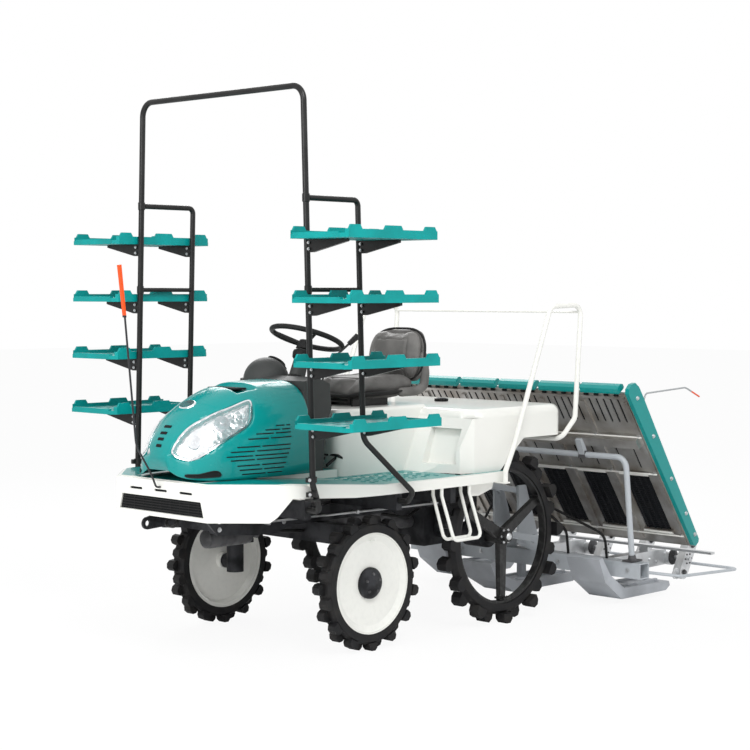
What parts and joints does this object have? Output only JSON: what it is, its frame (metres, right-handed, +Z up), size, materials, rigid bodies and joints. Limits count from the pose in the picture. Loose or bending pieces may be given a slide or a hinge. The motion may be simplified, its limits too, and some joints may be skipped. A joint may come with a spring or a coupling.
{
  "type": "riding rice transplanter",
  "caption": "Four-wheel riding machine that carries seedling trays beside the driver and sets rice seedlings in rows from a sliding slanted stage at the rear.",
  "frame": {"origin": "on the ground at the middle of the outer size", "axes": "+Z up, front faces -Y, the driver's left is +X"},
  "size_m": [2.15, 3.856, 2.802],
  "materials": {
    "frame_steel": "satin",
    "rack_black": "satin",
    "rail_white": "gloss",
    "body_white": "gloss",
    "body_teal": "gloss",
    "tray_teal": "satin",
    "teal_metal": "gloss",
    "dark_plastic": "matte",
    "seat_vinyl": "matte",
    "tyre_rubber": "matte",
    "cast_grey": "matte",
    "alloy": "satin",
    "float_grey": "satin",
    "lamp_lens": "gloss",
    "chrome_rod": "polished"
  },
  "bodies": {
    "chassis": {"chassis_frame": "frame_steel", "front_axle": "cast_grey", "rear_axle": "cast_grey", "gearbox": "cast_grey", "engine": "cast_grey", "floor": "body_teal", "front_cowl": "body_white", "seat_base": "body_white", "dashboard": "dark_plastic", "steering_column": "dark_plastic", "control_lever": "dark_plastic", "seat_bracket": "rack_black", "rack_hoop": "rack_black", "rack_stays": "rack_black", "tray_brackets_left": "rack_black", "tray_brackets_right": "rack_black", "trays_left": "tray_teal", "trays_right": "tray_teal", "hand_rails": "rail_white", "steps": "rail_white", "sighting_pole": "rack_black"},
    "steering_wheel": {"steering_wheel": "dark_plastic"},
    "knuckle_left": {"knuckle_left": "cast_grey"},
    "knuckle_right": {"knuckle_right": "cast_grey"},
    "front_wheel_left": {"front_tyre_left": "tyre_rubber", "front_disc_left": "rail_white"},
    "front_wheel_right": {"front_tyre_right": "tyre_rubber", "front_disc_right": "rail_white"},
    "rear_wheel_left": {"rear_tyre_left": "tyre_rubber", "rear_spokes_left": "frame_steel"},
    "rear_wheel_right": {"rear_tyre_right": "tyre_rubber", "rear_spokes_right": "frame_steel"},
    "hood": {"hood": "body_teal", "headlamps": "lamp_lens"},
    "seat": {"seat": "seat_vinyl"},
    "lower_link": {"lower_link": "rail_white"},
    "upper_link": {"upper_link": "rail_white"},
    "cylinder_barrel": {"cylinder_barrel": "rack_black"},
    "cylinder_rod": {"cylinder_rod": "chrome_rod"},
    "planting_frame": {"planting_beam": "rail_white", "planting_cases": "alloy", "floats": "float_grey"},
    "stage": {"seedling_stage": "alloy", "stage_trim": "teal_metal"},
    "rotors": {"planting_rotors": "alloy"}
  },
  "joints": [
    {"name": "steering", "type": "hinge", "parent": "chassis", "child": "steering_wheel", "pos_m": [0, -0.686, 1.56], "axis": [0, 0.342, 0.9397], "range_deg": [-480, 480]},
    {"name": "knuckle_left_turn", "type": "hinge", "parent": "chassis", "child": "knuckle_left", "pos_m": [0.44, -0.806, 0.5], "axis": [0, 0, 1], "range_deg": [-40, 40]},
    {"name": "knuckle_right_turn", "type": "hinge", "parent": "chassis", "child": "knuckle_right", "pos_m": [-0.44, -0.806, 0.5], "axis": [0, 0, 1], "range_deg": [-40, 40]},
    {"name": "front_wheel_left_roll", "type": "hinge", "parent": "knuckle_left", "child": "front_wheel_left", "pos_m": [0.56, -0.806, 0.34], "axis": [1, 0, 0], "continuous": true},
    {"name": "rear_wheel_left_roll", "type": "hinge", "parent": "chassis", "child": "rear_wheel_left", "pos_m": [0.56, 0.238, 0.475], "axis": [1, 0, 0], "continuous": true},
    {"name": "front_wheel_right_roll", "type": "hinge", "parent": "knuckle_right", "child": "front_wheel_right", "pos_m": [-0.56, -0.806, 0.34], "axis": [1, 0, 0], "continuous": true},
    {"name": "rear_wheel_right_roll", "type": "hinge", "parent": "chassis", "child": "rear_wheel_right", "pos_m": [-0.56, 0.238, 0.475], "axis": [1, 0, 0], "continuous": true},
    {"name": "hood_open", "type": "hinge", "parent": "chassis", "child": "hood", "pos_m": [0, -0.964, 1.334], "axis": [-1, 0, 0], "range_deg": [0, 50]},
    {"name": "seat_tip", "type": "hinge", "parent": "chassis", "child": "seat", "pos_m": [0, -0.454, 1.216], "axis": [1, 0, 0], "range_deg": [0, 45]},
    {"name": "lift", "type": "hinge", "parent": "chassis", "child": "lower_link", "pos_m": [0, 0.384, 0.47], "axis": [1, 0, 0], "range_deg": [0, 36.5]},
    {"name": "upper_link_turn", "type": "hinge", "parent": "chassis", "child": "upper_link", "pos_m": [0, 0.384, 0.745], "axis": [1, 0, 0], "range_deg": [0, 36.5]},
    {"name": "hitch_turn", "type": "hinge", "parent": "lower_link", "child": "planting_frame", "pos_m": [0, 0.984, 0.348], "axis": [1, 0, 0], "range_deg": [-36.5, 0]},
    {"name": "cylinder_turn", "type": "hinge", "parent": "chassis", "child": "cylinder_barrel", "pos_m": [0, 0.384, 0.84], "axis": [1, 0, 0], "range_deg": [0, 10.82]},
    {"name": "cylinder_stroke", "type": "slide", "parent": "cylinder_barrel", "child": "cylinder_rod", "axis": [0, 0.504, -0.8637], "range_m": [-0.1354, 0]},
    {"name": "stage_slide", "type": "slide", "parent": "planting_frame", "child": "stage", "axis": [1, 0, 0], "range_m": [-0.14, 0.14]},
    {"name": "rotor_turn", "type": "hinge", "parent": "planting_frame", "child": "rotors", "pos_m": [0, 1.719, 0.21], "axis": [1, 0, 0], "continuous": true}
  ],
  "couplings": [
    {"joint": "knuckle_left_turn", "follows": "steering", "ratio": 0.083333},
    {"joint": "knuckle_right_turn", "follows": "steering", "ratio": 0.083333},
    {"joint": "upper_link_turn", "follows": "lift", "ratio": 1},
    {"joint": "hitch_turn", "follows": "lift", "ratio": -1},
    {"joint": "cylinder_turn", "follows": "lift", "ratio": 0.29507},
    {"joint": "cylinder_stroke", "follows": "lift", "m_per_rad": -0.21176}
  ]
}
